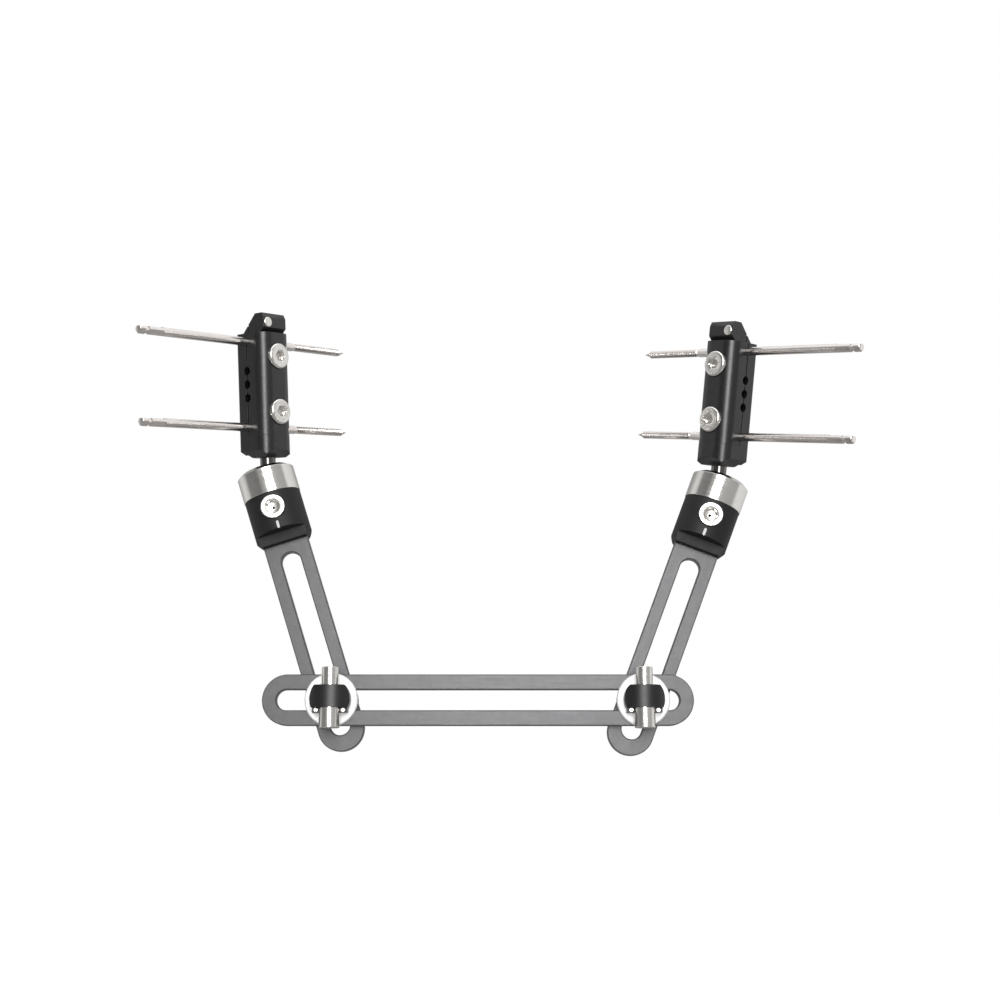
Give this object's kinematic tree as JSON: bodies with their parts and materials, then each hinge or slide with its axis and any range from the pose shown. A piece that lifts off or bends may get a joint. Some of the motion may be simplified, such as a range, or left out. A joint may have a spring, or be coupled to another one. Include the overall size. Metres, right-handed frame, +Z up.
{
  "type": "pelvic external fixator",
  "caption": "Slotted cross bar with two slotted arms on locking link clamps, each arm ending in a lockable ball joint and a two-part clamp that grips bone screws.",
  "frame": {"origin": "centre of the cross bar, at mid thickness", "axes": "+X along the cross bar to the picture's right, +Z up towards the clamps, -Y towards the front of the frame"},
  "size_m": [0.481, 0.1709, 0.3127],
  "materials": {
    "grey_anodised": "satin grey anodised",
    "black_anodised": "satin black anodised",
    "steel": "turned and polished",
    "bright_disc": "bead blasted, bright",
    "liner": "smooth"
  },
  "bodies": {
    "bar": {"cross_bar": "grey_anodised"},
    "left_link": {"left_front_washer": "bright_disc", "left_cam_head": "black_anodised", "left_head_screws": "steel"},
    "left_bolt": {"left_rear_disc": "black_anodised", "left_link_bolt": "steel"},
    "left_link_cam": {"left_link_cam": "steel", "left_cam_nut": "steel"},
    "left_guide": {"left_arm_guide": "steel"},
    "left_arm": {"left_slotted_arm": "grey_anodised", "left_arm_pins": "steel", "left_joint_housing": "black_anodised", "left_lock_ring": "steel"},
    "left_joint_cam": {"left_joint_cam": "steel", "left_cam_clip": "steel"},
    "left_thrust": {"left_thrust_piece": "steel"},
    "left_bush": {"left_ball_bush": "liner"},
    "left_stem": {"left_ball_stem": "steel", "left_stem_nut": "steel"},
    "left_clamp": {"left_end_cap": "black_anodised", "left_cap_screws": "steel", "left_clamp_body": "black_anodised", "left_clamp_cover": "black_anodised", "left_lug_pin": "steel"},
    "left_clamp_screw_upper": {"left_clamp_screw_upper": "steel"},
    "left_bone_screw_upper": {"left_bone_screw_upper": "steel"},
    "left_clamp_screw_lower": {"left_clamp_screw_lower": "steel"},
    "left_bone_screw_lower": {"left_bone_screw_lower": "steel"},
    "right_link": {"right_front_washer": "bright_disc", "right_cam_head": "black_anodised", "right_head_screws": "steel"},
    "right_bolt": {"right_rear_disc": "black_anodised", "right_link_bolt": "steel"},
    "right_link_cam": {"right_link_cam": "steel", "right_cam_nut": "steel"},
    "right_guide": {"right_arm_guide": "steel"},
    "right_arm": {"right_slotted_arm": "grey_anodised", "right_arm_pins": "steel", "right_joint_housing": "black_anodised", "right_lock_ring": "steel"},
    "right_joint_cam": {"right_joint_cam": "steel", "right_cam_clip": "steel"},
    "right_thrust": {"right_thrust_piece": "steel"},
    "right_bush": {"right_ball_bush": "liner"},
    "right_stem": {"right_ball_stem": "steel", "right_stem_nut": "steel"},
    "right_clamp": {"right_end_cap": "black_anodised", "right_cap_screws": "steel", "right_clamp_body": "black_anodised", "right_clamp_cover": "black_anodised", "right_lug_pin": "steel"},
    "right_clamp_screw_upper": {"right_clamp_screw_upper": "steel"},
    "right_bone_screw_upper": {"right_bone_screw_upper": "steel"},
    "right_clamp_screw_lower": {"right_clamp_screw_lower": "steel"},
    "right_bone_screw_lower": {"right_bone_screw_lower": "steel"}
  },
  "joints": [
    {"name": "left_link_slide", "type": "slide", "parent": "bar", "child": "left_link", "axis": [1, 0, 0], "range_m": [-0.0271, 0.0776]},
    {"name": "left_bolt_draw", "type": "slide", "parent": "left_link", "child": "left_bolt", "axis": [0, 1, 0], "range_m": [0, 0.0004]},
    {"name": "left_link_cam_turn", "type": "hinge", "parent": "left_link", "child": "left_link_cam", "pos_m": [-0.1006, -0.015, 0], "axis": [0, 0, -1], "range_deg": [0, 120]},
    {"name": "left_arm_hinge", "type": "hinge", "parent": "left_link", "child": "left_guide", "pos_m": [-0.1006, 0, 0], "axis": [0, -1, 0], "range_deg": [-25, 55]},
    {"name": "left_arm_slide", "type": "slide", "parent": "left_guide", "child": "left_arm", "axis": [-0.309, 0, 0.9511], "range_m": [-0.085, 0.0143]},
    {"name": "left_joint_cam_turn", "type": "hinge", "parent": "left_arm", "child": "left_joint_cam", "pos_m": [-0.14417, 0.008, 0.1341], "axis": [0, -1, 0], "range_deg": [0, 120]},
    {"name": "left_thrust_slide", "type": "slide", "parent": "left_arm", "child": "left_thrust", "axis": [0.309, 0, -0.9511], "range_m": [0, 0.0005]},
    {"name": "left_ball_spin", "type": "hinge", "parent": "left_arm", "child": "left_bush", "pos_m": [-0.15075, 0.008, 0.15436], "axis": [-0.309, 0, 0.9511], "continuous": true},
    {"name": "left_ball_tilt", "type": "hinge", "parent": "left_bush", "child": "left_stem", "pos_m": [-0.15075, 0.008, 0.15436], "axis": [0.5314, 0.8293, 0.1727], "range_deg": [-47.03, 8.97]},
    {"name": "left_clamp_swivel", "type": "hinge", "parent": "left_stem", "child": "left_clamp", "pos_m": [-0.15075, 0.008, 0.15436], "axis": [-0.0349, -0.1822, 0.9826], "continuous": true},
    {"name": "left_clamp_screw_upper_turn", "type": "hinge", "parent": "left_clamp", "child": "left_clamp_screw_upper", "pos_m": [-0.15393, -0.00858, 0.24378], "axis": [0.8064, -0.5859, -0.08], "range_deg": [0, 450]},
    {"name": "left_bone_screw_upper_slide", "type": "slide", "parent": "left_clamp", "child": "left_bone_screw_upper", "axis": [-0.5903, -0.7896, -0.1674], "range_m": [-0.0775, 0.016]},
    {"name": "left_clamp_screw_lower_turn", "type": "hinge", "parent": "left_clamp", "child": "left_clamp_screw_lower", "pos_m": [-0.15254, -0.00135, 0.20477], "axis": [0.8064, -0.5859, -0.08], "range_deg": [0, 450]},
    {"name": "left_bone_screw_lower_slide", "type": "slide", "parent": "left_clamp", "child": "left_bone_screw_lower", "axis": [-0.5903, -0.7896, -0.1674], "range_m": [-0.0775, 0.016]},
    {"name": "right_link_slide", "type": "slide", "parent": "bar", "child": "right_link", "axis": [-1, 0, 0], "range_m": [-0.0142, 0.0905]},
    {"name": "right_bolt_draw", "type": "slide", "parent": "right_link", "child": "right_bolt", "axis": [0, 1, 0], "range_m": [0, 0.0004]},
    {"name": "right_link_cam_turn", "type": "hinge", "parent": "right_link", "child": "right_link_cam", "pos_m": [0.1135, -0.015, 0], "axis": [0, 0, -1], "range_deg": [0, 120]},
    {"name": "right_arm_hinge", "type": "hinge", "parent": "right_link", "child": "right_guide", "pos_m": [0.1135, 0, 0], "axis": [0, 1, 0], "range_deg": [-25, 55]},
    {"name": "right_arm_slide", "type": "slide", "parent": "right_guide", "child": "right_arm", "axis": [0.3584, 0, 0.9336], "range_m": [-0.085, 0.0177]},
    {"name": "right_joint_cam_turn", "type": "hinge", "parent": "right_arm", "child": "right_joint_cam", "pos_m": [0.16281, 0.008, 0.12846], "axis": [0, -1, 0], "range_deg": [0, 120]},
    {"name": "right_thrust_slide", "type": "slide", "parent": "right_arm", "child": "right_thrust", "axis": [-0.3584, 0, -0.9336], "range_m": [0, 0.0005]},
    {"name": "right_ball_spin", "type": "hinge", "parent": "right_arm", "child": "right_bush", "pos_m": [0.17044, 0.008, 0.14835], "axis": [0.3584, 0, 0.9336], "continuous": true},
    {"name": "right_ball_tilt", "type": "hinge", "parent": "right_bush", "child": "right_stem", "pos_m": [0.17044, 0.008, 0.14835], "axis": [0.5579, -0.8018, -0.2142], "range_deg": [-47.31, 8.69]},
    {"name": "right_clamp_swivel", "type": "hinge", "parent": "right_stem", "child": "right_clamp", "pos_m": [0.17044, 0.008, 0.14835], "axis": [0.0906, -0.1977, 0.9761], "continuous": true},
    {"name": "right_clamp_screw_upper_turn", "type": "hinge", "parent": "right_clamp", "child": "right_clamp_screw_upper", "pos_m": [0.17869, -0.00999, 0.23717], "axis": [-0.7647, -0.6417, -0.0589], "range_deg": [0, 450]},
    {"name": "right_bone_screw_upper_slide", "type": "slide", "parent": "right_clamp", "child": "right_bone_screw_upper", "axis": [0.638, -0.7411, -0.2093], "range_m": [-0.0775, 0.016]},
    {"name": "right_clamp_screw_lower_turn", "type": "hinge", "parent": "right_clamp", "child": "right_clamp_screw_lower", "pos_m": [0.17509, -0.00214, 0.19842], "axis": [-0.7647, -0.6417, -0.0589], "range_deg": [0, 450]},
    {"name": "right_bone_screw_lower_slide", "type": "slide", "parent": "right_clamp", "child": "right_bone_screw_lower", "axis": [0.638, -0.7411, -0.2093], "range_m": [-0.0775, 0.016]}
  ],
  "couplings": [
    {"joint": "left_link_cam_turn", "follows": "left_bolt_draw", "rad_per_m": 5235.6},
    {"joint": "left_joint_cam_turn", "follows": "left_thrust_slide", "rad_per_m": 4188.4},
    {"joint": "right_link_cam_turn", "follows": "right_bolt_draw", "rad_per_m": 5235.6},
    {"joint": "right_joint_cam_turn", "follows": "right_thrust_slide", "rad_per_m": 4188.4}
  ]
}
